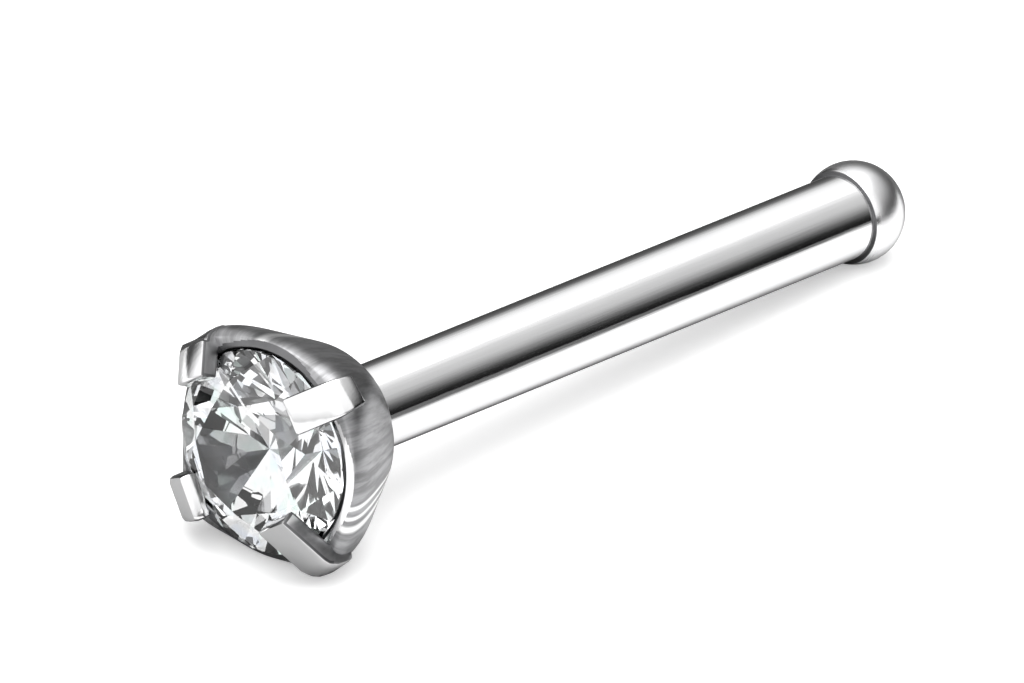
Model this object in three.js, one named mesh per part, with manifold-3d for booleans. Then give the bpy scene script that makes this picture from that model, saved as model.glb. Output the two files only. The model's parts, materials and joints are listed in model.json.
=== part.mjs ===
// A nose stud lying on its side: a four-prong setting soldered to a straight post with a ball end,
// and a round brilliant stone held by the prongs. Millimetres, +Z up.
// The origin is on the surface that the stud lies on, below the middle of its bounding box,
// and the post runs along +X from the head to the ball end.
import * as THREE from 'three';
import { ConvexGeometry } from 'three/addons/geometries/ConvexGeometry.js';
import { mergeVertices } from 'three/addons/utils/BufferGeometryUtils.js';
import Module from 'manifold-3d';

const wasm = await Module();
wasm.setup();

// The stud is made upright on its own axis, +Y, from the stone (Y = 0 at the girdle) to the ball.
// "at" is a place along that axis, and "radius" is a distance from it.

// Post and ball end
const POST_RADIUS = 0.40;
const WEARABLE_LENGTH = 7.0;
const BALL_RADIUS = 0.48;
const SHOULDER_TO_BALL_CENTRE = 0.19;
const ROUND_STEPS = 48;
const BALL_ARC_STEPS = 16;

// Stone: a round brilliant, proportions as parts of its diameter
const STONE_RADIUS = 0.95;
const TABLE_RATIO = 0.57;
const CROWN_ANGLE = THREE.MathUtils.degToRad(34.5);
const PAVILION_ANGLE = THREE.MathUtils.degToRad(40.8);
const GIRDLE_THICKNESS = 0.03;
const STAR_LENGTH = 0.5;
const LOWER_HALF_LENGTH = 0.77;
const FOLDS = 8;

// Setting: a cup with four ridges that run up into the prongs. Each section has its place and
// radius on the open sides, where the rim dips behind the stone, and on the prong corners.
const SEAT_GAP = 0.015;
const CUP_SECTIONS = [
  { name: 'rim', sideAt: 0.11, side: 0.99, cornerAt: 0.00, corner: 1.10 },
  { name: 'shoulder', sideAt: 0.22, side: 1.04, cornerAt: 0.11, corner: 1.22 },
  { name: 'upper wall', sideAt: 0.36, side: 1.01, cornerAt: 0.30, corner: 1.19 },
  { name: 'waist', sideAt: 0.52, side: 0.96, cornerAt: 0.52, corner: 1.10 },
  { name: 'lower wall', sideAt: 0.70, side: 0.89, cornerAt: 0.70, corner: 0.98 },
  { name: 'heel', sideAt: 0.84, side: 0.81, cornerAt: 0.84, corner: 0.85 },
  { name: 'back edge', sideAt: 0.96, side: 0.71, cornerAt: 0.96, corner: 0.72 },
  { name: 'back face', sideAt: 1.00, side: 0.65, cornerAt: 1.00, corner: 0.65 },
];
const RIDGE_SHARPNESS = 4;
const CUP_STEPS = 64;
const CAVITY_DEPTH = 0.87;
const ABOVE_ALL_AT = -1;

// Prongs: the reach is how near to the axis each one's top face comes, and the swirl is how far
// all four lean round the stone, as the tool that presses them down leaves them.
const PRONG_WIDTH = 0.35;
const PRONG_BEVEL = 0.03;
const PRONG_HEIGHT = 0.20;
const TIP_SLANT = 0.08;
const PRONG_SWIRL = THREE.MathUtils.degToRad(9);
const BEND_RADIUS = 1.18;
const FLAT_END_RADIUS = 1.09;
const BEND_OUTLINE = [[1.17, -0.05], [1.22, 0.03], [1.23, 0.15]];
const ROOT_OUTER_RADIUS = 1.12;
const ROOT_INNER_RADIUS = 1.00;
const ROOT_AT = 0.44;
const NOTCH_AT = 0.02;
const PRONGS = [
  { name: 'near the top', turn: 315, reach: 0.80 },
  { name: 'near the floor', turn: 45, reach: 0.68 },
  { name: 'far, near the floor', turn: 135, reach: 0.70 },
  { name: 'far, near the top', turn: 225, reach: 0.87 },
];

const BACK_AT = CUP_SECTIONS.at(-1).sideAt;
const SHOULDER_AT = BACK_AT + WEARABLE_LENGTH;
const BALL_AT = SHOULDER_AT + SHOULDER_TO_BALL_CENTRE;
const SEAT_RADIUS = STONE_RADIUS + SEAT_GAP;
const MERGE_DISTANCE = 1e-5;

const steel = new THREE.MeshStandardMaterial({ color: '#c9cacc', roughness: 0.08, metalness: 1 });
const zirconia = new THREE.MeshStandardMaterial({
  color: '#f4f7fa', roughness: 0.02, metalness: 0, transparent: true, opacity: 0.5,
});

// ---- solids: joining and cutting closed shapes ----

function solidOf(geometry) {
  const bare = geometry.index ? geometry.toNonIndexed() : geometry.clone();
  bare.deleteAttribute('normal');
  bare.deleteAttribute('uv');
  const merged = mergeVertices(bare, MERGE_DISTANCE);
  return new wasm.Manifold(new wasm.Mesh({
    numProp: 3,
    vertProperties: new Float32Array(merged.attributes.position.array),
    triVerts: new Uint32Array(merged.index.array),
  }));
}

function geometryOf(solid) {
  const mesh = solid.getMesh();
  const indexed = new THREE.BufferGeometry();
  indexed.setAttribute('position', new THREE.BufferAttribute(mesh.vertProperties, 3));
  indexed.setIndex(new THREE.BufferAttribute(mesh.triVerts, 1));
  const flat = indexed.toNonIndexed();
  flat.computeVertexNormals();
  return flat;
}

// A solid skinned over closed rings of points, each ring's end closed by a fan
function loft(rings) {
  const count = rings[0].length;
  const positions = [];
  const triangle = (a, b, c) => positions.push(...a.toArray(), ...b.toArray(), ...c.toArray());
  const middleOf = (ring) => ring.reduce((sum, p) => sum.add(p), new THREE.Vector3()).divideScalar(count);
  for (let i = 0; i < count; i++) {
    const next = (i + 1) % count;
    for (let r = 0; r < rings.length - 1; r++) {
      const [ring, above] = [rings[r], rings[r + 1]];
      triangle(ring[i], above[next], above[i]);
      triangle(ring[i], ring[next], above[next]);
    }
    triangle(middleOf(rings[0]), rings[0][next], rings[0][i]);
    triangle(middleOf(rings.at(-1)), rings.at(-1)[i], rings.at(-1)[next]);
  }
  const geometry = new THREE.BufferGeometry();
  geometry.setAttribute('position', new THREE.Float32BufferAttribute(positions, 3));
  return geometry;
}

function onAxis(radius, at, turn) {
  return new THREE.Vector3(radius * Math.cos(turn), at, -radius * Math.sin(turn));
}

// ---- the stone ----

// A crown facet plane falls away from the table edge, and a pavilion one from the girdle
function crownHeight(radius, offset) {
  const tableRadius = STONE_RADIUS * TABLE_RATIO;
  const full = (STONE_RADIUS - tableRadius) * Math.tan(CROWN_ANGLE);
  return full - (radius * Math.cos(offset) - tableRadius) * Math.tan(CROWN_ANGLE);
}

function pavilionDepth(radius, offset) {
  return (STONE_RADIUS - radius * Math.cos(offset)) * Math.tan(PAVILION_ANGLE);
}

function stoneGeometry() {
  const step = (2 * Math.PI) / FOLDS;
  const halfStep = step / 2;
  const half = GIRDLE_THICKNESS / 2;
  const tableRadius = STONE_RADIUS * TABLE_RATIO;
  const starRadius = THREE.MathUtils.lerp(tableRadius, STONE_RADIUS, STAR_LENGTH);
  const lowerRadius = STONE_RADIUS * (1 - LOWER_HALF_LENGTH);
  const points = [onAxis(0, half + pavilionDepth(0, 0), 0)];
  for (let i = 0; i < FOLDS; i++) {
    const main = i * step;
    const between = main + halfStep;
    points.push(onAxis(tableRadius, -half - crownHeight(tableRadius, 0), main));
    points.push(onAxis(starRadius, -half - crownHeight(starRadius, halfStep), between));
    points.push(onAxis(lowerRadius, half + pavilionDepth(lowerRadius, halfStep), between));
    for (const turn of [main, between]) {
      points.push(onAxis(STONE_RADIUS, -half, turn));
      points.push(onAxis(STONE_RADIUS, half, turn));
    }
  }
  return new ConvexGeometry(points);
}

// ---- the setting, the post and its ball ----

function cupRing({ sideAt, side, cornerAt, corner }) {
  const ring = [];
  for (let i = 0; i < CUP_STEPS; i++) {
    const turn = (i / CUP_STEPS) * 2 * Math.PI;
    const ridge = Math.abs(Math.sin(2 * turn)) ** RIDGE_SHARPNESS;
    ring.push(onAxis(
      THREE.MathUtils.lerp(side, corner, ridge),
      THREE.MathUtils.lerp(sideAt, cornerAt, ridge),
      turn,
    ));
  }
  return ring;
}

function cup() {
  return solidOf(loft(CUP_SECTIONS.map(cupRing)));
}

// The hollow behind the stone: a short straight seat, then a cone along the pavilion
function cavity() {
  const seatAt = GIRDLE_THICKNESS / 2 + SEAT_GAP;
  const profile = [
    [0, ABOVE_ALL_AT], [SEAT_RADIUS, ABOVE_ALL_AT], [SEAT_RADIUS, seatAt], [0, CAVITY_DEPTH],
  ];
  const outline = profile.map(([radius, at]) => new THREE.Vector2(radius, at));
  return solidOf(new THREE.LatheGeometry(outline, ROUND_STEPS));
}

// One prong seen from its side: along the crown, down over the girdle and into the cup's wall
function prong({ turn, reach }) {
  const crownAt = (radius) => -GIRDLE_THICKNESS / 2 - (STONE_RADIUS - radius) * Math.tan(CROWN_ANGLE);
  const topAt = (radius) => crownAt(radius) - PRONG_HEIGHT;
  const footRadius = reach - TIP_SLANT;
  const outline = [
    [footRadius, crownAt(footRadius) - SEAT_GAP],
    [reach, topAt(reach)],
    [FLAT_END_RADIUS, topAt(FLAT_END_RADIUS)],
    ...BEND_OUTLINE,
    [ROOT_OUTER_RADIUS, ROOT_AT],
    [ROOT_INNER_RADIUS, ROOT_AT],
    [ROOT_INNER_RADIUS, NOTCH_AT],
    [STONE_RADIUS, crownAt(STONE_RADIUS) - SEAT_GAP],
  ];
  const shape = new THREE.Shape(outline.map(([radius, at]) => new THREE.Vector2(radius, at)));
  const geometry = new THREE.ExtrudeGeometry(shape, {
    depth: PRONG_WIDTH - 2 * PRONG_BEVEL,
    bevelThickness: PRONG_BEVEL,
    bevelSize: PRONG_BEVEL,
    bevelOffset: -PRONG_BEVEL,
    bevelSegments: 1,
  });
  geometry.translate(0, 0, PRONG_BEVEL - PRONG_WIDTH / 2);
  geometry.translate(0, 0, BEND_RADIUS * Math.sin(PRONG_SWIRL));
  geometry.rotateY(THREE.MathUtils.degToRad(turn) + PRONG_SWIRL);
  return solidOf(geometry);
}

// Straight post with a small square shoulder, then a ball
function postAndBall() {
  const rootAt = (CAVITY_DEPTH + BACK_AT) / 2;
  const start = Math.acos(SHOULDER_TO_BALL_CENTRE / BALL_RADIUS);
  const outline = [
    new THREE.Vector2(0, rootAt),
    new THREE.Vector2(POST_RADIUS, rootAt),
    new THREE.Vector2(POST_RADIUS, SHOULDER_AT),
  ];
  for (let i = 0; i <= BALL_ARC_STEPS; i++) {
    const angle = start + (i / BALL_ARC_STEPS) * (Math.PI - start);
    const radius = i === BALL_ARC_STEPS ? 0 : BALL_RADIUS * Math.sin(angle);
    outline.push(new THREE.Vector2(radius, BALL_AT - BALL_RADIUS * Math.cos(angle)));
  }
  return solidOf(new THREE.LatheGeometry(outline, ROUND_STEPS));
}

function metalGeometry() {
  let metal = cup().subtract(cavity());
  for (const row of PRONGS) {
    metal = metal.add(prong(row));
  }
  return geometryOf(metal.add(postAndBall()));
}

// ---- the assembly, laid down ----

function namedMesh(name, geometry, material) {
  const mesh = new THREE.Mesh(geometry, material);
  mesh.name = name;
  return mesh;
}

// Lying down, the cup's widest side and the ball touch the surface, so the post slopes down
// towards its ball end by this angle
function restingTilt() {
  const shoulder = CUP_SECTIONS.find((section) => section.name === 'shoulder');
  const run = BALL_AT - shoulder.sideAt;
  const direct = Math.hypot(run, shoulder.side);
  return Math.acos(BALL_RADIUS / direct) - Math.atan2(run, shoulder.side);
}

const stud = new THREE.Group();
stud.add(namedMesh('setting_and_post', metalGeometry(), steel));
stud.add(namedMesh('stone', stoneGeometry(), zirconia));
stud.rotation.set(0, restingTilt(), -Math.PI / 2);

const box = new THREE.Box3().setFromObject(stud, true);
const middle = box.getCenter(new THREE.Vector3());
stud.position.set(-middle.x, -middle.y, -box.min.z);

const assembly = new THREE.Group();
assembly.add(stud);
export default assembly;
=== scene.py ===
# %% [markdown]
# # A nose stud with a four-prong setting
# A small piece of body jewellery: a clear round stone held by four prongs, a cup-shaped setting
# behind it, and a straight post that ends in a little ball. It lies on its side on a pale table.
# The frame holds the solids of the CAD model. Their sizes are estimates, from a post taken as
# 0.8 mm thick. Everything made here stands for one of them.
# %% Load the frame
import json
import math
import bmesh
import bpy
from mathutils import Matrix, Vector


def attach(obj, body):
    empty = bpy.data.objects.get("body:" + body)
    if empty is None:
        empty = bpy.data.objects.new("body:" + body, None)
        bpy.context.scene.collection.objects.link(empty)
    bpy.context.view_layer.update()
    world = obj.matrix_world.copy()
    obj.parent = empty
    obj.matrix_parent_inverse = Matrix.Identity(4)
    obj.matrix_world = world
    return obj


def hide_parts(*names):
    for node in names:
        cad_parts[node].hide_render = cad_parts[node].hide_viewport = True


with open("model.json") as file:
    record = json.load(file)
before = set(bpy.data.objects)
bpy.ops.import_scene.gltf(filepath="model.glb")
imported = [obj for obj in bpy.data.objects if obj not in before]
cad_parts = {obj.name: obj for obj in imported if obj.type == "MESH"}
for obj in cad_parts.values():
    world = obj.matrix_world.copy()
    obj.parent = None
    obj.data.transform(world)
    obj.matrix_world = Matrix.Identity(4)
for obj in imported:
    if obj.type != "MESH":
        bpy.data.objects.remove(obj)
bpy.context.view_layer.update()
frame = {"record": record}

# %% [markdown]
# ## The bench
# A jeweller works on a stud upright and in millimetres, so each piece is made standing on its own
# axis: the girdle of the stone at the origin, the table of the stone up +Z, the post down -Z.
# One unit on the bench is a millimetre, which also keeps Blender's merge distances sensible for
# such a small thing. The last step of each piece lays it down at its true size and place.
# %% Where the stud lies
TABLE_HEIGHT = 0.2958
MM = 0.001
table_mount = next(m for m in frame["record"]["mounts"] if m["name"] == "stone_table")
table_axis = Vector(table_mount["axis"]).normalized()
girdle_centre = Vector(table_mount["pos_m"]) - table_axis * TABLE_HEIGHT * MM
turn_down = -math.acos(max(-1.0, min(1.0, table_axis.z)))
lay = Matrix.Translation(girdle_centre) @ Matrix.Rotation(turn_down, 4, "Y") @ Matrix.Scale(MM, 4)
post_axis = -table_axis
print("girdle centre", girdle_centre, "turned down by", math.degrees(turn_down))

# %% Working helpers
def work_on(obj):
    """Select only this object and make it the one that operators act on."""
    bpy.ops.object.select_all(action="DESELECT")
    obj.select_set(True)
    bpy.context.view_layer.objects.active = obj
    return obj


def pick(kind, test):
    """In edit mode, select the vertices, edges or faces whose middle passes the test."""
    bpy.ops.mesh.select_mode(type=kind)
    bpy.ops.mesh.select_all(action="DESELECT")
    mesh = bmesh.from_edit_mesh(bpy.context.object.data)
    parts = {"VERT": mesh.verts, "EDGE": mesh.edges, "FACE": mesh.faces}[kind]
    chosen = 0
    for part in parts:
        if kind == "VERT":
            middle = part.co
        elif kind == "EDGE":
            middle = (part.verts[0].co + part.verts[1].co) / 2
        else:
            middle = part.calc_center_median()
        if test(middle):
            part.select = True
            chosen += 1
    mesh.select_flush_mode()
    bmesh.update_edit_mesh(bpy.context.object.data)
    return chosen


def modify(obj, kind, **settings):
    """Add a modifier, set it and apply it."""
    work_on(obj)
    modifier = obj.modifiers.new(kind.title(), kind)
    for name, value in settings.items():
        setattr(modifier, name, value)
    bpy.ops.object.modifier_apply(modifier=modifier.name)


def lay_down(obj, smooth_angle):
    """Turn a finished piece from the bench to the table, with its place in its mesh."""
    work_on(obj)
    obj.matrix_world = lay
    bpy.ops.object.transform_apply(location=True, rotation=True, scale=True)
    bpy.ops.object.shade_smooth_by_angle(angle=math.radians(smooth_angle))
    size = [round(value * 1000, 3) for value in obj.dimensions]
    print(obj.name, "mm:", size, "faces:", len(obj.data.polygons))


# %% [markdown]
# ## The camera
# It looks at the stud from the head's end and from above, from far away with a long lens, so the
# post keeps its width along its length. The 45 degrees between the line of sight and the post is
# one reading among several, from about 37 to 45.
# %% Camera
SENSOR = 36.0
LENS = 1000.0
FRAME_WIDTH = 9.271 * MM
AIM_ALONG_POST = 3.460 * MM
AIM_ACROSS = -0.077 * MM
VIEW_FROM_AXIS = math.radians(45.0)
VIEW_TURN = math.radians(-54.5)
POST_RISE_IN_FRAME = math.radians(22.05)

bench_axes = lay.to_3x3() * (1 / MM)
sideways = bench_axes @ Vector((math.cos(VIEW_TURN), math.sin(VIEW_TURN), 0.0))
toward = sideways * math.sin(VIEW_FROM_AXIS) - post_axis * math.cos(VIEW_FROM_AXIS)
across = post_axis.cross(sideways)
along = (post_axis + math.cos(VIEW_FROM_AXIS) * toward) / math.sin(VIEW_FROM_AXIS)
right = math.cos(POST_RISE_IN_FRAME) * along + math.sin(POST_RISE_IN_FRAME) * across
upward = toward.cross(right)
aim = girdle_centre + AIM_ALONG_POST * post_axis + AIM_ACROSS * across
distance = FRAME_WIDTH * LENS / SENSOR

camera_data = bpy.data.cameras.new("camera")
camera_data.lens = LENS
camera_data.sensor_width = SENSOR
camera_data.clip_start, camera_data.clip_end = 0.01, 5.0
camera = bpy.data.objects.new("camera", camera_data)
bpy.context.collection.objects.link(camera)
camera.matrix_world = Matrix.Translation(aim + toward * distance) @ Matrix(
    (right, upward, toward)).transposed().to_4x4()
bpy.context.scene.camera = camera
print("camera looks along", -toward, "elevation", math.degrees(math.asin(toward.z)))

# %% [markdown]
# ## The stone
# A cubic zirconia in the round brilliant cut. A cutter starts with a round preform and grinds it
# flat against a wheel, one facet at a time, in rings of eight and sixteen. The same is done here:
# a cylinder is cut by planes, each of which takes off what lies outside it and leaves a flat
# facet. The angles are those of the classic cut, so the facets meet at points by themselves.
# %% Rough stone
STONE_RADIUS = 0.95
TABLE_RATIO = 0.57
STAR_LENGTH = 0.5
LOWER_HALF_LENGTH = 0.77
PAVILION_ANGLE = math.radians(40.8)
HILL = 0.026
FOLDS = 8
STONE_TURN = math.radians(0.0)
ROUND = 96

CULET = -HILL - STONE_RADIUS * math.tan(PAVILION_ANGLE)
bpy.ops.object.select_all(action="DESELECT")
bpy.ops.mesh.primitive_cylinder_add(
    vertices=ROUND, radius=STONE_RADIUS, depth=TABLE_HEIGHT - CULET + 0.1,
    location=(0, 0, (TABLE_HEIGHT + CULET) / 2))
stone = bpy.context.object
stone.name = stone.data.name = "stone_brilliant"
bpy.ops.object.transform_apply(location=True, rotation=True, scale=True)
print("rough stone", tuple(stone.dimensions))

# %% Cut the facets
def cut(point, steepness, turn):
    """Grind one flat facet: it passes through the point and leans by steepness, facing turn."""
    normal = (math.sin(steepness) * math.cos(turn), math.sin(steepness) * math.sin(turn),
              math.cos(steepness))
    bpy.ops.mesh.select_all(action="SELECT")
    bpy.ops.mesh.bisect(plane_co=point, plane_no=normal, use_fill=True, clear_outer=True,
                        threshold=1e-6)


def cut_ring(radius, height, steepness, point_turn, face_turns):
    """Cut the same facet eight times around, once for each turn that the ring's faces take."""
    for fold in range(FOLDS):
        start = STONE_TURN + fold * 2 * math.pi / FOLDS
        for face_turn in face_turns:
            spot = start + point_turn
            cut((radius * math.cos(spot), radius * math.sin(spot), height), steepness,
                start + face_turn)


HALF_FOLD = math.pi / FOLDS
table_radius = STONE_RADIUS * TABLE_RATIO
crown_slope = (TABLE_HEIGHT - HILL) / (STONE_RADIUS - table_radius)
table_edge = table_radius * math.cos(HALF_FOLD)
star_radius = table_edge + (STONE_RADIUS - table_edge) * STAR_LENGTH
star_height = HILL + (STONE_RADIUS - star_radius * math.cos(HALF_FOLD)) * crown_slope
crown_half = math.atan((star_height - HILL) / ((STONE_RADIUS - star_radius)
                                              * math.cos(HALF_FOLD / 2)))
star = math.atan((TABLE_HEIGHT - star_height) / (star_radius - table_edge))
lower_radius = STONE_RADIUS * (1 - LOWER_HALF_LENGTH)
lower_drop = (STONE_RADIUS - lower_radius * math.cos(HALF_FOLD)) * math.tan(PAVILION_ANGLE)
lower_half = math.atan(lower_drop / ((STONE_RADIUS - lower_radius) * math.cos(HALF_FOLD / 2)))

bpy.ops.object.mode_set(mode="EDIT")
cut((0, 0, TABLE_HEIGHT), 0.0, 0.0)
cut_ring(STONE_RADIUS, HILL, math.atan(crown_slope), 0.0, [0.0])
cut_ring(star_radius, star_height, star, HALF_FOLD, [HALF_FOLD])
cut_ring(star_radius, star_height, crown_half, HALF_FOLD, [HALF_FOLD / 2, HALF_FOLD * 3 / 2])
cut_ring(STONE_RADIUS, -HILL, math.pi - PAVILION_ANGLE, 0.0, [0.0])
cut_ring(STONE_RADIUS, -HILL, math.pi - lower_half, 0.0, [HALF_FOLD / 2, -HALF_FOLD / 2])
bpy.ops.mesh.select_all(action="SELECT")
bpy.ops.mesh.remove_doubles(threshold=1e-4)
bpy.ops.mesh.dissolve_limited(angle_limit=math.radians(0.2))
bpy.ops.object.mode_set(mode="OBJECT")
print("crown halves", round(math.degrees(crown_half), 1), "stars", round(math.degrees(star), 1),
      "lower halves", round(math.degrees(lower_half), 1), "facets", len(stone.data.polygons))
lay_down(stone, 5.0)

# %% [markdown]
# ## The cup of the setting
# Behind the stone is a small cast cup. It is round where it is soldered to the post, and it
# swells towards the stone with four soft ridges that carry the prongs. Between the prongs its rim
# dips behind the stone, so the edge of the stone shows. It is drawn out from a circle ring by
# ring: each ring is extruded, then the vertices at the same distance from a ridge are scaled and
# moved together. A subdivision surface then gives the tumbled, even skin of a casting.
# %% Rings of the cup
RING = 64
RIDGE_SHARPNESS = 4
OUTER_RINGS = [
    # side radius, side height, ridge radius, ridge height
    (1.028, -0.080, 1.130, 0.000),
    (1.036, -0.090, 1.145, -0.010),
    (1.044, -0.140, 1.190, -0.050),
    (1.042, -0.220, 1.222, -0.120),
    (1.004, -0.360, 1.190, -0.300),
    (0.946, -0.520, 1.095, -0.520),
    (0.876, -0.700, 0.970, -0.700),
    (0.812, -0.840, 0.846, -0.840),
    (0.780, -0.900, 0.795, -0.900),
    (0.740, -0.955, 0.748, -0.955),
    (0.640, -0.995, 0.640, -0.995),
    (0.420, -1.000, 0.420, -1.000),
    (0.200, -0.990, 0.200, -0.990),
]
SEAT_RADIUS = 0.960
INNER_RINGS = [
    (1.018, -0.070, 1.110, 0.005),
    (0.972, -0.034, 1.000, 0.005),
    (SEAT_RADIUS, -0.038, SEAT_RADIUS, -0.010),
    (SEAT_RADIUS, -0.140, SEAT_RADIUS, -0.140),
    (0.700, -0.345, 0.700, -0.345),
    (0.300, -0.660, 0.300, -0.660),
    (0.050, -0.865, 0.050, -0.865),
]


def ridge_share(turn):
    return abs(math.sin(2 * turn)) ** RIDGE_SHARPNESS


def ring_place(section, turn):
    """Radius and height of a ring at this turn about the axis."""
    share = ridge_share(turn)
    side_radius, side_height, ridge_radius, ridge_height = section
    return (side_radius + (ridge_radius - side_radius) * share,
            side_height + (ridge_height - side_height) * share)


def shape_ring(old, new):
    """Scale and lower the selected ring from its old section to its new one, group by group."""
    groups = {}
    mesh = bmesh.from_edit_mesh(bpy.context.object.data)
    ring = [vertex for vertex in mesh.verts if vertex.select]
    for vertex in ring:
        turn = math.atan2(vertex.co.y, vertex.co.x)
        groups.setdefault(round(ridge_share(turn), 4), []).append((vertex.index, turn))
    indices = [vertex.index for vertex in ring]
    for members in groups.values():
        turn = members[0][1]
        old_radius, old_height = ring_place(old, turn)
        new_radius, new_height = ring_place(new, turn)
        mesh = bmesh.from_edit_mesh(bpy.context.object.data)
        mesh.verts.ensure_lookup_table()
        bpy.ops.mesh.select_all(action="DESELECT")
        for index, _ in members:
            mesh.verts[index].select = True
        growth = new_radius / old_radius
        bpy.ops.transform.resize(value=(growth, growth, 1.0), center_override=(0, 0, 0))
        bpy.ops.transform.translate(value=(0, 0, new_height - old_height))
    mesh = bmesh.from_edit_mesh(bpy.context.object.data)
    mesh.verts.ensure_lookup_table()
    for index in indices:
        mesh.verts[index].select = True
    mesh.select_flush_mode()
    bmesh.update_edit_mesh(bpy.context.object.data)


bpy.ops.object.select_all(action="DESELECT")
bpy.ops.mesh.primitive_circle_add(vertices=RING, radius=1.0)
cup = bpy.context.object
cup.name = cup.data.name = "setting"
bpy.ops.object.mode_set(mode="EDIT")
bpy.ops.mesh.select_mode(type="VERT")
bpy.ops.mesh.select_all(action="SELECT")
shape_ring((1.0, 0.0, 1.0, 0.0), OUTER_RINGS[0])


def draw_rings(start, sections):
    """Extrude one ring after another, and close the last one to a point."""
    current = start
    for section in sections:
        bpy.ops.mesh.extrude_region_move()
        shape_ring(current, section)
        current = section
    bpy.ops.mesh.extrude_region_move()
    bpy.ops.mesh.merge(type="CENTER")


draw_rings(OUTER_RINGS[0], OUTER_RINGS[1:])
mesh = bmesh.from_edit_mesh(cup.data)
bpy.ops.mesh.select_all(action="DESELECT")
bpy.ops.mesh.select_mode(type="EDGE")
for edge in mesh.edges:
    edge.select = edge.is_boundary
bmesh.update_edit_mesh(cup.data)
bpy.ops.mesh.select_mode(type="VERT")
draw_rings(OUTER_RINGS[0], INNER_RINGS)
bpy.ops.mesh.select_all(action="SELECT")
bpy.ops.mesh.normals_make_consistent(inside=False)
bpy.ops.object.mode_set(mode="OBJECT")
modify(cup, "SUBSURF", levels=2, render_levels=2)
print("cup", tuple(round(value, 3) for value in cup.dimensions), len(cup.data.polygons))

# %% [markdown]
# ## The prongs
# Each prong is a flat bar that grows out of a ridge, bends over the edge of the stone and lies on
# its crown. One bar is drawn out from a block, station by station, with its edges ground off by a
# bevel. It is copied four times, and all four lean the same way round the stone. The copies differ
# a little in length, thickness and turn, to follow the outline that is wanted from one side. A
# real setting is probably more regular.
# %% One prong
CROWN_SLOPE = math.tan(math.radians(34.5))
GIRDLE_TOP = 0.018
SEAT_GAP = 0.016
PRONG_WIDTH = 0.35
PRONG_HEIGHT = 0.20
TIP_SLANT = 0.08
PRONG_SWIRL = math.radians(9)
BEND_RADIUS = 1.18
LONGEST = 0.68


def crown_at(radius):
    """Height of the stone's crown at this distance from the axis."""
    return GIRDLE_TOP + (STONE_RADIUS - radius) * CROWN_SLOPE


# The bar from the girdle down to its end on the cup: radius and height of its top side and of its
# under side, its width, and how far it is twisted to face straight out of the ridge
STATIONS = [
    ((1.100, crown_at(1.100) + PRONG_HEIGHT), (STONE_RADIUS, crown_at(STONE_RADIUS) + SEAT_GAP),
     PRONG_WIDTH, 0),
    ((1.125, crown_at(1.125) + PRONG_HEIGHT), (0.965, 0.020), PRONG_WIDTH, 1),
    ((1.175, 0.050), (0.980, -0.005), 0.345, 3),
    ((1.213, 0.000), (0.990, -0.030), 0.335, 5),
    ((1.234, -0.060), (1.000, -0.060), 0.320, 7),
    ((1.240, -0.130), (1.000, -0.130), 0.305, 8),
    ((1.236, -0.215), (1.000, -0.215), 0.290, 9),
    ((1.150, -0.260), (1.000, -0.360), 0.280, 9),
]
tip_top = (LONGEST, crown_at(LONGEST) + PRONG_HEIGHT)
tip_under = (LONGEST - TIP_SLANT, crown_at(LONGEST - TIP_SLANT) + SEAT_GAP)


def near(middle, place, reach=0.004):
    return abs(middle.x - place[0]) < reach and abs(middle.z - place[1]) < reach


def move_edge(place, target):
    """Move the crosswise edge of the bar that lies at this radius and height."""
    count = pick("VERT", lambda middle: near(middle, place))
    assert count == 2, (place, count)
    bpy.ops.transform.translate(value=(target[0] - place[0], 0, target[1] - place[1]))


BLOCK = 0.05
BLOCK_HEIGHT = 2.0
bpy.ops.object.select_all(action="DESELECT")
bpy.ops.mesh.primitive_cube_add(
    size=1.0, scale=(BLOCK, PRONG_WIDTH, BLOCK), location=(LONGEST, 0, BLOCK_HEIGHT))
bar = bpy.context.object
bar.name = "prong_bar"
bpy.ops.object.transform_apply(location=True, rotation=True, scale=True)
bpy.ops.object.mode_set(mode="EDIT")
low, high = BLOCK_HEIGHT - BLOCK / 2, BLOCK_HEIGHT + BLOCK / 2
inner, outer = LONGEST - BLOCK / 2, LONGEST + BLOCK / 2
move_edge((inner, low), tip_under)
move_edge((inner, high), tip_top)
move_edge((outer, low), STATIONS[0][1])
move_edge((outer, high), STATIONS[0][0])
for station, next_station in zip(STATIONS, STATIONS[1:]):
    top, under, width, _ = station
    next_top, next_under, next_width, _ = next_station
    middle_place = ((top[0] + under[0]) / 2, (top[1] + under[1]) / 2)
    assert pick("FACE", lambda middle: near(middle, middle_place)) == 1
    direction = ((next_top[0] + next_under[0]) / 2 - middle_place[0],
                 0.0, (next_top[1] + next_under[1]) / 2 - middle_place[1])
    bpy.ops.mesh.extrude_region_move(TRANSFORM_OT_translate={"value": direction})
    bpy.ops.transform.resize(value=(1, next_width / width, 1), center_override=(0, 0, 0))
    moved_top = (top[0] + direction[0], top[1] + direction[2])
    moved_under = (under[0] + direction[0], under[1] + direction[2])
    move_edge(moved_top, next_top)
    move_edge(moved_under, next_under)
for top, under, _, twist in STATIONS:
    if twist:
        pick("VERT", lambda middle: near(middle, top) or near(middle, under))
        bpy.ops.transform.rotate(value=-math.radians(twist), orient_axis="Z",
                                 center_override=(BEND_RADIUS, 0, 0))
bpy.ops.mesh.select_all(action="SELECT")
bpy.ops.mesh.normals_make_consistent(inside=False)
bpy.ops.object.mode_set(mode="OBJECT")
print("prong bar", tuple(round(value, 3) for value in bar.dimensions))

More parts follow.
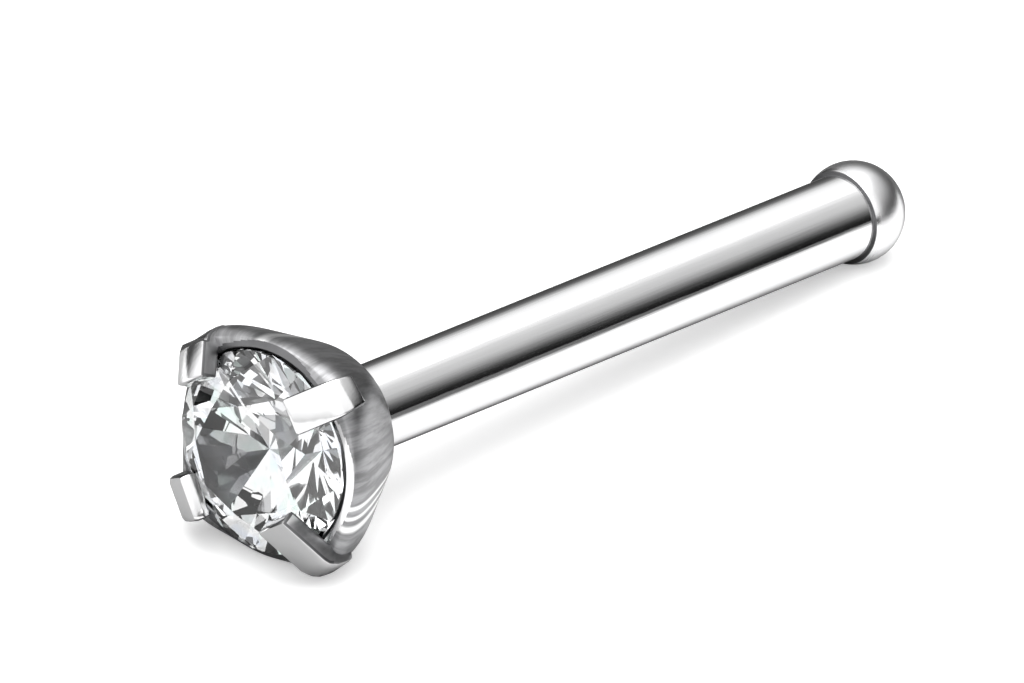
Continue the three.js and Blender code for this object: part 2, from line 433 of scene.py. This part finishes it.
# %% Four prongs on the cup
# bench turn in degrees, how near to the axis its top face comes, how wide it is against the
# first bar, how much thicker and how much shorter at the bend it is, and how much of its edges
# is ground off
PRONGS = [("near_top", -45, 0.80, 1.00, 0.000, 0.000, 0.032),
          ("far_top", 45, 0.84, 1.00, 0.045, 0.060, 0.032),
          ("far_floor", 131, 0.70, 1.25, 0.030, 0.010, 0.100),
          ("near_floor", -135, 0.66, 1.02, 0.050, 0.015, 0.034)]
# how far sideways a face of the bar looks, from which it counts as its edge and as its side
EDGE_LEAN, SIDE_LEAN = 0.70, 0.96
# places of the three steels in the setting's list of materials; the dark one paints shade
BRUSHED, POLISHED, DARK = 0, 1, 2
prongs = []
for name, turn, reach, breadth, lift, pull, ground in PRONGS:
    work_on(bar)
    bpy.ops.object.duplicate()
    prong = bpy.context.object
    prong.name = prong.data.name = "prong_" + name
    bpy.ops.object.mode_set(mode="EDIT")
    shorter = reach - LONGEST
    pick("VERT", lambda middle: near(middle, tip_top) or near(middle, tip_under))
    bpy.ops.transform.translate(value=(shorter, 0, -shorter * CROWN_SLOPE))
    pick("VERT", lambda middle: middle.z > crown_at(middle.x) + PRONG_HEIGHT / 2)
    bpy.ops.transform.translate(value=(0, 0, lift))
    pick("VERT", lambda middle: middle.x > BEND_RADIUS)
    bpy.ops.transform.translate(value=(-pull, 0, 0))
    bpy.ops.mesh.select_all(action="SELECT")
    bpy.ops.transform.resize(value=(1, breadth, 1), center_override=(0, 0, 0))
    bpy.ops.object.mode_set(mode="OBJECT")
    modify(prong, "BEVEL", width=ground, segments=2, limit_method="ANGLE",
           angle_limit=math.radians(50), use_clamp_overlap=True)
    # Faces that lean far sideways, the outer bevels along the bar's edges, get the dark steel:
    # painted shade. The sides get the cup's steel and the rest the polished steel.
    for face in prong.data.polygons:
        lean = abs(face.normal.y)
        face.material_index = (
            BRUSHED if lean > SIDE_LEAN else DARK if lean > EDGE_LEAN else POLISHED)
    aside = BEND_RADIUS * math.sin(PRONG_SWIRL)
    prong.matrix_world = (Matrix.Rotation(math.radians(turn) - PRONG_SWIRL, 4, "Z")
                          @ Matrix.Translation((0, aside, 0)))
    bpy.ops.object.transform_apply(location=True, rotation=True, scale=True)
    prongs.append(prong)
bpy.data.objects.remove(bar)
print([prong.name for prong in prongs])

# %% [markdown]
# ## The post with its ball end
# The post is drawn wire, and the ball at its end is melted or turned from it, with a narrow
# flat shoulder where it starts. It is drawn out from one circle, ring by ring, like the cup. The
# shoulder's two edges get a small bevel, because polishing rounds them. Further on the bevel also
# gets a dark steel, painted shade which makes the seam show as a line.
# %% Post and ball
POST_RADIUS = 0.40
POST_START = -0.93
SHOULDER = -8.0
BALL_RADIUS = 0.48
SHOULDER_TO_BALL = 0.19
POST_STEPS = 96
BALL_STEPS = 28
SHOULDER_BEVEL = 0.006

bpy.ops.object.select_all(action="DESELECT")
bpy.ops.mesh.primitive_circle_add(
    vertices=POST_STEPS, radius=POST_RADIUS, fill_type="NGON", location=(0, 0, POST_START))
post = bpy.context.object
post.name = post.data.name = "post"
bpy.ops.object.transform_apply(location=True, rotation=True, scale=True)
bpy.ops.object.mode_set(mode="EDIT")
bpy.ops.mesh.select_all(action="SELECT")
first_angle = math.acos(SHOULDER_TO_BALL / BALL_RADIUS)
ball_centre = SHOULDER - SHOULDER_TO_BALL
profile = [(POST_RADIUS, SHOULDER)]
for step in range(BALL_STEPS):
    angle = first_angle + (math.pi - first_angle) * step / BALL_STEPS
    profile.append((BALL_RADIUS * math.sin(angle), ball_centre + BALL_RADIUS * math.cos(angle)))
radius, height = POST_RADIUS, POST_START
for next_radius, next_height in profile:
    bpy.ops.mesh.extrude_region_move(
        TRANSFORM_OT_translate={"value": (0, 0, next_height - height)})
    growth = next_radius / radius
    bpy.ops.transform.resize(value=(growth, growth, 1.0), center_override=(0, 0, next_height))
    radius, height = next_radius, next_height
bpy.ops.mesh.extrude_region_move(
    TRANSFORM_OT_translate={"value": (0, 0, ball_centre - BALL_RADIUS - height)})
bpy.ops.mesh.merge(type="CENTER")
bpy.ops.mesh.select_all(action="SELECT")
bpy.ops.mesh.normals_make_consistent(inside=False)
bpy.ops.object.mode_set(mode="OBJECT")
modify(post, "BEVEL", width=SHOULDER_BEVEL, segments=2, limit_method="ANGLE",
       angle_limit=math.radians(40))
print("post and ball", tuple(round(value, 3) for value in post.dimensions))

# %% [markdown]
# ## Shading in expressions
# A material is a small calculation for every point of a surface. The class below wraps a socket,
# so the calculation can be written as it would be on paper.
# %% Sockets that add and multiply
class Flow:
    """A node's output, with Python's operators for its numbers."""

    def __init__(self, tree, socket=None):
        self.tree = tree
        self.socket = socket

    def node(self, kind, settings=None, inputs=None, output=0):
        """Any node: its settings first, then the values or links of its sockets."""
        made = self.tree.nodes.new(kind)
        for name, value in (settings or {}).items():
            if name == "stops":
                ramp = made.color_ramp
                ramp.elements.remove(ramp.elements[1])
                for index, (place, shade) in enumerate(value):
                    stop = ramp.elements.new(place) if index else ramp.elements[0]
                    stop.position = place
                    stop.color = (*shade, 1.0) if isinstance(shade, tuple) else (
                        shade, shade, shade, 1.0)
            else:
                setattr(made, name, value)
        for name, value in (inputs or {}).items():
            if isinstance(value, Flow):
                self.tree.links.new(value.socket, made.inputs[name])
            else:
                made.inputs[name].default_value = value
        return Flow(self.tree, made.outputs[output])

    def math(self, operation, first, second=0.0):
        return self.node("ShaderNodeMath", {"operation": operation}, {0: first, 1: second})

    def __add__(self, other):
        return self.math("ADD", self, other)

    def __sub__(self, other):
        return self.math("SUBTRACT", self, other)

    def __mul__(self, other):
        return self.math("MULTIPLY", self, other)

    __radd__ = __add__
    __rmul__ = __mul__

    def step(self, low, high):
        """0 below low, 1 above high, and a soft step between."""
        return self.node("ShaderNodeMapRange", {"interpolation_type": "SMOOTHSTEP"},
                         {"Value": self, "From Min": low, "From Max": high})

    def blend(self, first, second):
        """A colour between two colours, as far as this number says."""
        return self.node("ShaderNodeMix", {"data_type": "RGBA"},
                         {"Factor": self, 6: first, 7: second}, output=2)


def new_material(name, constants):
    """A fresh material with its fixed values on the shader's own sockets."""
    material = bpy.data.materials.new(name)
    material.use_nodes = True
    tree = material.node_tree
    shader = tree.nodes["Principled BSDF"]
    for socket, value in constants.items():
        shader.inputs[socket].default_value = value
    return material, Flow(tree), shader


def feed(flow, shader, **sockets):
    for name, value in sockets.items():
        flow.tree.links.new(value.socket, shader.inputs[name.replace("_", " ")])


# %% [markdown]
# ## Polished steel of the post
# Surgical steel, drawn to wire and buffed. Close up it is a mirror with very fine lines along its
# length from drawing and a trace of haze. The ball is made rougher than the bar, to blur the dark
# streak that it would otherwise reflect. The pattern is measured in the stud's own frame: a
# Mapping node turns the table's coordinates back to the bench, in millimetres.
# %% Steel of the post
def bench_place(flow):
    """Coordinates on the bench, in millimetres, of the point being shaded."""
    place = flow.node("ShaderNodeTexCoord", output=3)
    moved = flow.node("ShaderNodeVectorMath", {"operation": "SUBTRACT"},
                      {0: place, 1: tuple(girdle_centre)})
    return flow.node("ShaderNodeMapping", {"vector_type": "POINT"}, {
        "Vector": moved, "Rotation": (0.0, -turn_down, 0.0), "Scale": (1 / MM,) * 3})


def stretched(flow, place, scale, detail=3.0, roughness=0.55):
    """Noise that is stretched or squeezed along the bench axes."""
    scaled = flow.node("ShaderNodeVectorMath", {"operation": "MULTIPLY"}, {0: place, 1: scale})
    return flow.node("ShaderNodeTexNoise", None, {
        "Vector": scaled, "Scale": 1.0, "Detail": detail, "Roughness": roughness})


post_steel, flow, shader = new_material("post_steel", {"Metallic": 1.0, "IOR": 2.5})
place = bench_place(flow)
lines = stretched(flow, place, (38.0, 38.0, 1.2))
haze = stretched(flow, place, (2.5, 2.5, 1.4), 2.0)
along = flow.node("ShaderNodeSeparateXYZ", None, {"Vector": place}, output=2)
melted = along.step(SHOULDER - 0.01, SHOULDER - 0.06)
feed(flow, shader,
     Base_Color=haze.blend((0.86, 0.86, 0.87, 1), (0.93, 0.93, 0.93, 1)),
     Roughness=0.045 + 0.05 * haze + 0.03 * lines + 0.20 * melted,
     Normal=flow.node("ShaderNodeBump", None, {
         "Strength": 0.06, "Distance": 0.00001, "Height": lines}))
print("post steel nodes:", len(flow.tree.nodes))

# %% [markdown]
# ## Steel of the setting
# The cup is cast and only brushed, with light and dark streaks that run like the ribs of a fan.
# Its walls get a much greyer steel than the post, which is painted shade. The prongs are ground
# and polished after the stone is set, so they are brighter, with faint scratches of the last
# wheel.
# Some of this was placed for the look from one side, and isn't how steel behaves: the walls are
# darker on one side as painted shade, four painted highlights are set at chosen turns, the rim is
# bright on one side as painted light and dark on the others as painted shade, and the edges of
# the prongs have a dark steel of their own, painted shade.
# %% Steel of the cup and of the prongs
# radians round the axis, and half the width, of the painted highlights (glints) on the walls
GLINTS = [(0.17, 0.09), (-1.80, 0.035), (-1.90, 0.030), (-2.00, 0.045)]
cup_steel, flow, shader = new_material("cup_steel", {"Metallic": 1.0})
place = bench_place(flow)
parts = flow.node("ShaderNodeSeparateXYZ", None, {"Vector": place})
x, y, z = (Flow(flow.tree, parts.socket.node.outputs[i]) for i in range(3))
turn = flow.math("ARCTAN2", y, x)
ribs = flow.node("ShaderNodeTexNoise", {"noise_dimensions": "2D"}, {
    "Vector": flow.node("ShaderNodeCombineXYZ", None, {0: turn * 9.0, 1: z * 1.3}),
    "Scale": 1.0, "Detail": 4.0, "Roughness": 0.65})
fine_ribs = flow.node("ShaderNodeTexNoise", {"noise_dimensions": "2D"}, {
    "Vector": flow.node("ShaderNodeCombineXYZ", None, {0: turn * 34.0, 1: z * 2.0}),
    "Scale": 1.0, "Detail": 3.0, "Roughness": 0.6})
streaks = ribs.step(0.35, 0.68)
glints = 0.0
for middle, half_width in GLINTS:
    glints = glints + flow.math("ABSOLUTE", turn - middle).step(half_width, 0.2 * half_width)
# Walls turned past about -0.9 rad round the axis are darker, painted shade; the glints add painted
# highlights.
wall_streaks_and_shade = turn.step(-0.4, -0.9).blend(
    streaks.blend((0.31, 0.31, 0.315, 1), (0.52, 0.52, 0.53, 1)),
    streaks.blend((0.24, 0.24, 0.245, 1), (0.42, 0.42, 0.43, 1)))
feed(flow, shader,
     Base_Color=glints.blend(wall_streaks_and_shade, (0.95, 0.95, 0.95, 1)),
     Roughness=0.30 + 0.16 * fine_ribs,
     Normal=flow.node("ShaderNodeBump", None, {
         "Strength": 0.12, "Distance": 0.00003, "Height": ribs * 0.7 + fine_ribs * 0.3}))

# A very dark steel that paints shade: in the seat, on the dark sides of the rim, along the prong
# edges and on the post's shoulder.
painted_shade_steel, flow, shader = new_material("painted_shade_steel", {"Metallic": 1.0})
place = bench_place(flow)
matt = stretched(flow, place, (6.0, 6.0, 6.0), 3.0)
feed(flow, shader,
     Base_Color=matt.blend((0.14, 0.14, 0.145, 1), (0.22, 0.22, 0.225, 1)),
     Roughness=0.28 + 0.12 * matt)

prong_steel, flow, shader = new_material("prong_steel", {"Metallic": 1.0})
place = bench_place(flow)
wheel = stretched(flow, place, (9.0, 34.0, 16.0))
haze = stretched(flow, place, (4.0, 4.0, 4.0), 2.0)
feed(flow, shader,
     Base_Color=haze.blend((0.80, 0.80, 0.81, 1), (0.90, 0.90, 0.90, 1)),
     Roughness=0.07 + 0.10 * wheel,
     Normal=flow.node("ShaderNodeBump", None, {
         "Strength": 0.10, "Distance": 0.00001, "Height": wheel}))

# %% Solder the prongs to the cup
SEAT_REACH, SEAT_BOTTOM, SEAT_WALL_BOTTOM = 0.968, -0.88, -0.145
RIM_REACH, RIM_BOTTOM = 1.026, -0.09
SHOULDER_LEAN = 0.6
SHARP_STEEL = 28.0
for material in (cup_steel, prong_steel, painted_shade_steel):
    cup.data.materials.append(material)
    for prong in prongs:
        prong.data.materials.append(material)
# Inside the seat and on the rim, one side gets the bright prong steel as painted light, and the
# other sides get the dark steel as painted shade.
for face in cup.data.polygons:
    from_axis = math.hypot(face.center.x, face.center.y)
    painted_lit_side = face.center.y < -abs(face.center.x)
    height = face.center.z
    if from_axis < SEAT_REACH and face.normal.z > -0.2 and height > SEAT_BOTTOM:
        face.material_index = POLISHED if painted_lit_side and height > SEAT_WALL_BOTTOM else DARK
    elif from_axis < RIM_REACH and height > RIM_BOTTOM:
        face.material_index = POLISHED if painted_lit_side else DARK
for prong in prongs:
    modify(cup, "BOOLEAN", operation="UNION", solver="EXACT", object=prong)
    bpy.data.objects.remove(prong)
lay_down(cup, SHARP_STEEL)
for material in (post_steel, painted_shade_steel):
    post.data.materials.append(material)
# The shoulder's bevel faces get the dark steel: painted shade along the seam.
for face in post.data.polygons:
    on_shoulder = abs(face.center.z - SHOULDER) < SHOULDER_BEVEL
    if on_shoulder and abs(face.normal.z) > SHOULDER_LEAN:
        face.material_index = 1
lay_down(post, SHARP_STEEL)

# %% [markdown]
# ## The clear stone
# Cubic zirconia is clear and colourless, with a higher index than glass, so most light that enters
# the crown is turned back by the pavilion. That makes the sharp pattern of white and dark. Real
# stones split the light into a breath of colour, which a faint tint in soft patches stands for.
# %% Cubic zirconia
zirconia, flow, shader = new_material("zirconia", {
    "Transmission Weight": 1.0, "IOR": 2.16, "Specular IOR Level": 0.5})
place = bench_place(flow)
fire = stretched(flow, place, (3.1, 3.1, 3.1), 1.0)
hue = flow.node("ShaderNodeValToRGB", {"stops": [
    (0.30, (0.82, 1.00, 0.94)), (0.45, (1.0, 1.0, 1.0)), (0.55, (1.0, 1.0, 1.0)),
    (0.70, (0.86, 0.91, 1.0))]}, {"Fac": fire})
wheel = stretched(flow, place, (22.0, 22.0, 22.0), 2.0)
feed(flow, shader, Base_Color=hue, Roughness=0.004 * wheel)
stone.data.materials.append(zirconia)
print("stone material", zirconia.name)

# %% [markdown]
# ## Table and light
# Polished metal shows its surroundings, so most of the contrast in the metal and the stone is
# made here. The surroundings are not plain. The table is white only where the camera looks at it:
# every other ray meets a dark table with two paler places, as if black cards lay on it. A Light
# Path node tells the two apart. The studio's light differs from side to side and with height. All
# of its values were tuned for the reflections along the post from one side. A plain pale
# table under plain soft light would give paler, flatter metal.
# %% Table
bpy.ops.object.select_all(action="DESELECT")
bpy.ops.mesh.primitive_circle_add(vertices=64, radius=2.0, fill_type="NGON")
table = bpy.context.object
table.name = "table"
table_paint, flow, shader = new_material("table_paint", {"Roughness": 0.9})
grain = flow.node("ShaderNodeTexNoise", None, {
    "Vector": flow.node("ShaderNodeTexCoord", output=3), "Scale": 900.0, "Detail": 2.0})
white = grain.blend((0.93, 0.93, 0.93, 1), (0.95, 0.95, 0.95, 1))
parts = flow.node("ShaderNodeSeparateXYZ", None, {
    "Vector": flow.node("ShaderNodeTexCoord", output=3)})
fx, fy = (Flow(flow.tree, parts.socket.node.outputs[i]) * 1000.0 for i in range(2))
by_head = fx.step(-2.9, -3.3)
in_front = fy.step(-8.0, -2.4) * (fy + 0.8 * by_head).step(-0.05, -0.60)
lit = flow.math("MAXIMUM", in_front, fx.step(-7.0, -9.0))
reflected = lit.blend(by_head.blend((0.12, 0.12, 0.12, 1), (0.43, 0.43, 0.43, 1)), white)
seen = flow.node("ShaderNodeLightPath")
# For the camera the table also glows a little: painted light that washes out the shadows on it.
# The dark table that other rays meet paints dark reflections.
feed(flow, shader, Base_Color=seen.blend(reflected, white),
     Emission_Color=seen.blend((0, 0, 0, 1), (0.35, 0.35, 0.35, 1)))
shader.inputs["Emission Strength"].default_value = 1.0
shader.inputs["Specular IOR Level"].default_value = 0.0
table.data.materials.append(table_paint)
print("table nodes:", len(flow.tree.nodes))

# %% Soft box
BOX_SIZE = 0.12
BOX_PLACE = Vector((-0.03, -0.03, 0.15))
BOX_POWER = 0.03
box_data = bpy.data.lights.new("soft_box", "AREA")
box_data.shape = "RECTANGLE"
box_data.size = box_data.size_y = BOX_SIZE
box_data.energy = BOX_POWER
soft_box = bpy.data.objects.new("soft_box", box_data)
bpy.context.collection.objects.link(soft_box)
soft_box.matrix_world = (Matrix.Translation(BOX_PLACE)
                         @ BOX_PLACE.to_track_quat("Z", "Y").to_matrix().to_4x4())
print("soft box at", tuple(BOX_PLACE))

# %% Studio around the stud
# brightness of each side against height: 0 is the horizon and 1 is straight up
world = bpy.data.worlds.new("studio")
world.use_nodes = True
bpy.context.scene.world = world
flow = Flow(world.node_tree)
background = world.node_tree.nodes["Background"]
direction = flow.node("ShaderNodeTexCoord", output=0)
parts = flow.node("ShaderNodeSeparateXYZ", None, {"Vector": direction})
dx, dy, dz = (Flow(flow.tree, parts.socket.node.outputs[i]) for i in range(3))
near_side = flow.node("ShaderNodeValToRGB", {"stops": [
    (0.0, 0.004), (0.18, 0.02), (0.29, 0.09), (0.39, 0.20), (0.50, 0.37), (0.60, 0.54),
    (0.66, 0.62), (0.75, 0.68), (0.81, 0.76), (0.86, 1.0), (0.91, 2.6), (1.0, 3.0)]},
    {"Fac": dz})
front_side = flow.node("ShaderNodeValToRGB", {"stops": [
    (0.0, 0.05), (0.10, 0.20), (0.24, 0.95), (0.50, 1.15), (0.86, 1.2), (0.91, 2.6),
    (1.0, 3.0)]}, {"Fac": dz})
far_side = flow.node("ShaderNodeValToRGB", {"stops": [
    (0.0, 0.05), (0.30, 0.10), (0.44, 0.18), (0.54, 0.50), (0.63, 0.80), (0.72, 1.05),
    (0.86, 1.2), (0.91, 2.6), (1.0, 3.0)]}, {"Fac": dz})
left_side = flow.node("ShaderNodeValToRGB", {"stops": [
    (0.0, 0.60), (0.08, 1.00), (0.20, 1.25), (0.86, 1.3), (0.91, 2.6), (1.0, 3.0)]},
    {"Fac": dz})
near_side = dx.step(0.25, 0.40).blend(front_side, near_side)
around = dy.step(-0.15, 0.15).blend(near_side, far_side)
around = dx.step(-0.30, -0.60).blend(around, left_side)
below = dz.step(-0.02, 0.0).blend((0.95, 0.95, 0.95, 1), around)
camera_ray = flow.node("ShaderNodeLightPath")
seen = camera_ray.blend(below, (1.0, 1.0, 1.0, 1))
world.node_tree.links.new(seen.socket, background.inputs["Color"])
background.inputs["Strength"].default_value = 1.0
bpy.context.scene.view_settings.view_transform = "Standard"
print("world nodes:", len(world.node_tree.nodes))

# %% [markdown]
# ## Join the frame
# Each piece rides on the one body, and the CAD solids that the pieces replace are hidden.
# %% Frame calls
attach(cup, "root")
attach(post, "root")
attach(stone, "root")
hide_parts("setting_and_post")
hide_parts("setting_and_post")
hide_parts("stone")
